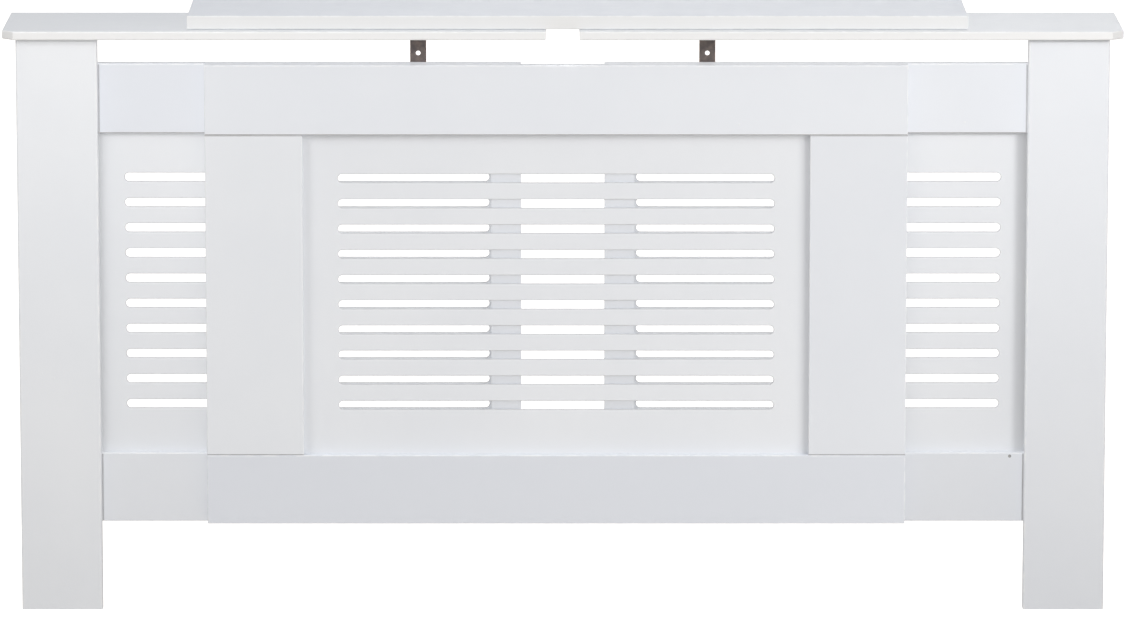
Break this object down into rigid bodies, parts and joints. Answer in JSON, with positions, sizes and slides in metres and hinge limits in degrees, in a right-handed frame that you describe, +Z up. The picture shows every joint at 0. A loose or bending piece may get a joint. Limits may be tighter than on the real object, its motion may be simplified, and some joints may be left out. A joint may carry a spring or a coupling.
{
  "type": "width-adjustable radiator cover",
  "caption": "White board radiator cover on two legs, with slotted grilles, a centre unit that laps over sliding ends, split shelves and a loose top board.",
  "frame": {"origin": "on the floor, under the middle of the cover's footprint as drawn", "axes": "+X along the wall towards the right end, -Y towards the room, +Z up"},
  "size_m": [1.515, 0.19, 0.82],
  "materials": {
    "painted_board": "satin white paint on medium density fibreboard, eased edges",
    "painted_panel": "satin white paint on thin fibreboard, routed slots",
    "raw_board": "unpainted sawn softwood",
    "beech": "turned beech dowel",
    "bronzed_steel": "dark brown bronzed steel strip",
    "zinc_steel": "bright zinc plate",
    "guide_plastic": "moulded natural nylon",
    "felt": "pale self-adhesive foam rubber"
  },
  "bodies": {
    "centre_unit": {"centre_bottom_rail": "painted_board", "centre_grille_panel": "painted_panel", "centre_left_stile": "painted_board", "centre_panel_screws": "zinc_steel", "centre_right_stile": "painted_board", "centre_top_rail": "painted_board", "guide_shoe_bottom_left": "guide_plastic", "guide_shoe_bottom_right": "guide_plastic", "guide_shoe_screws": "zinc_steel", "guide_shoe_top_left": "guide_plastic", "guide_shoe_top_right": "guide_plastic"},
    "left_end": {"left_bottom_rail": "painted_board", "left_bracket_screws": "zinc_steel", "left_cleat_screws": "zinc_steel", "left_corner_batten": "raw_board", "left_end_batten": "painted_board", "left_frame_screws": "zinc_steel", "left_grille_panel": "painted_panel", "left_leg": "painted_board", "left_panel_screws": "zinc_steel", "left_shelf": "painted_board", "left_shelf_cleat": "raw_board", "left_shelf_dowels": "beech", "left_side_panel": "painted_board", "left_tie_bracket": "bronzed_steel", "left_top_rail": "painted_board", "left_wall_bracket": "zinc_steel"},
    "right_end": {"right_bottom_rail": "painted_board", "right_bracket_screws": "zinc_steel", "right_cleat_screws": "zinc_steel", "right_corner_batten": "raw_board", "right_end_batten": "painted_board", "right_frame_screws": "zinc_steel", "right_grille_panel": "painted_panel", "right_leg": "painted_board", "right_panel_screws": "zinc_steel", "right_shelf": "painted_board", "right_shelf_cleat": "raw_board", "right_shelf_dowels": "beech", "right_side_panel": "painted_board", "right_tie_bracket": "bronzed_steel", "right_top_rail": "painted_board", "right_wall_bracket": "zinc_steel"},
    "top_board": {"top_board": "painted_board", "top_board_pads": "felt"}
  },
  "joints": [
    {"name": "left_extension", "type": "slide", "parent": "centre_unit", "child": "left_end", "axis": [-1, 0, 0], "range_m": [-0.022, 0.2705]},
    {"name": "right_extension", "type": "slide", "parent": "centre_unit", "child": "right_end", "axis": [1, 0, 0], "range_m": [-0.022, 0.2525]},
    {"name": "top_board_slide", "type": "slide", "parent": "centre_unit", "child": "top_board", "axis": [1, 0, 0], "range_m": [-0.08, 0.08]}
  ]
}
